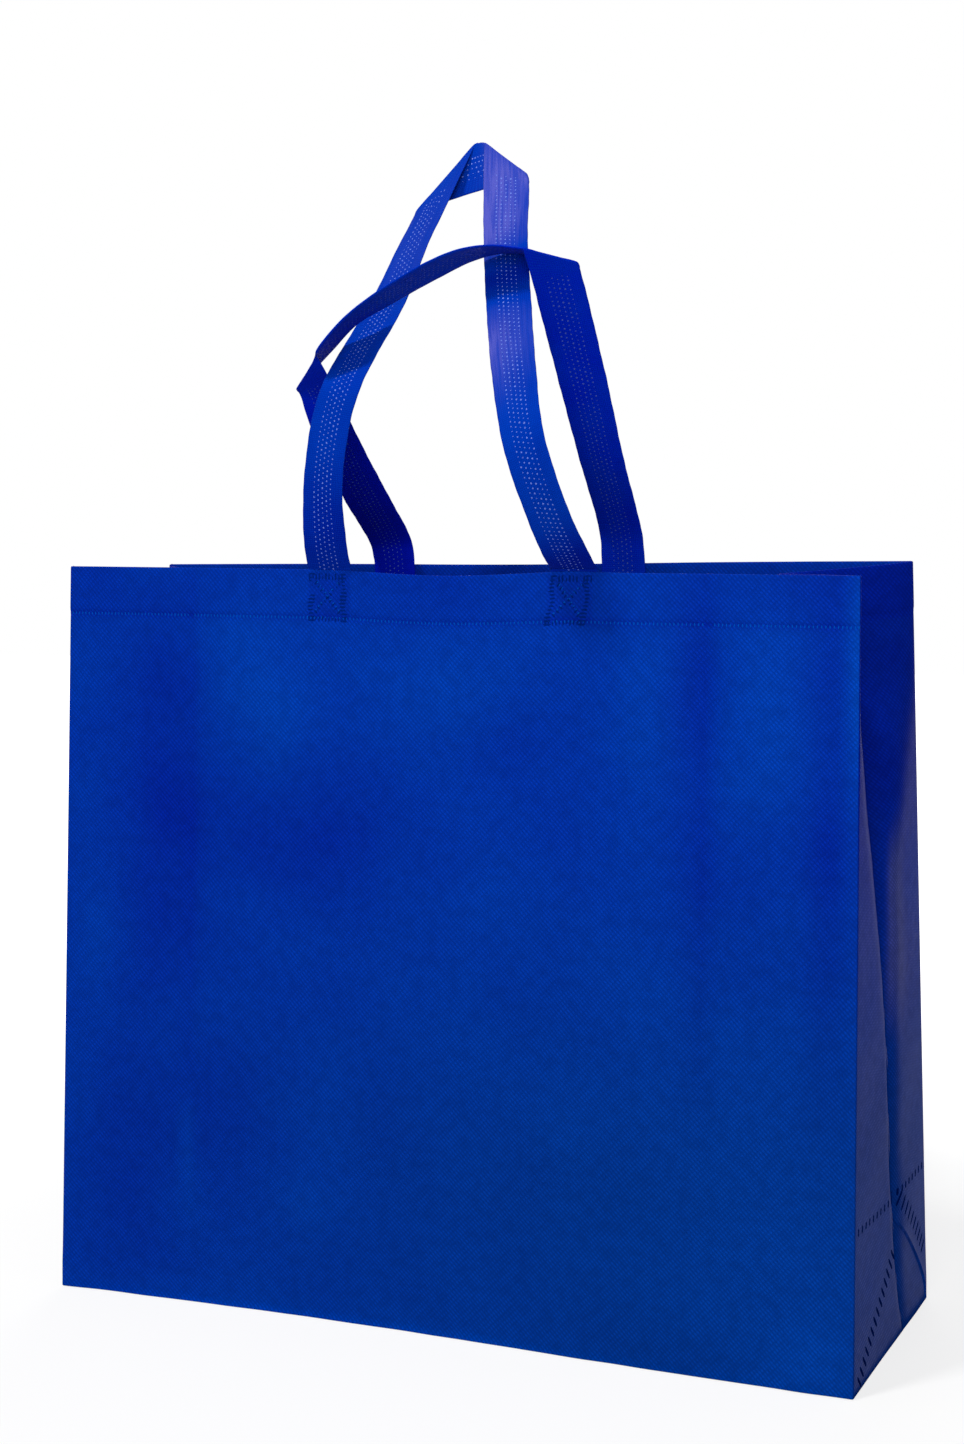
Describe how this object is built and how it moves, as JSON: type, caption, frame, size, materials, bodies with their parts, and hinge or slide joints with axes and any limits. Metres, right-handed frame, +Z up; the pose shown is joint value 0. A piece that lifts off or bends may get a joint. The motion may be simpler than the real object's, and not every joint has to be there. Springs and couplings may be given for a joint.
{
  "type": "carrier bag",
  "caption": "Tall carrier bag of blue non-woven cloth, folded from a single sheet with tucked side gussets, a welded hem and flat strap handles welded inside its mouth.",
  "frame": {"origin": "centre of the base, on the surface the bag stands on", "axes": "+Z up towards the handles, +X across the wide front panel, -Y out of the front panel"},
  "size_m": [0.45, 0.1681, 0.62],
  "materials": {
    "cloth": "matt spun-bonded polypropylene with a fine embossed hatch",
    "strap": "folded strip of the same cloth with lengthwise rows of weld dots"
  },
  "bodies": {
    "root": {"bag_body": "cloth", "front_handle": "strap", "back_handle": "strap"}
  },
  "joints": []
}
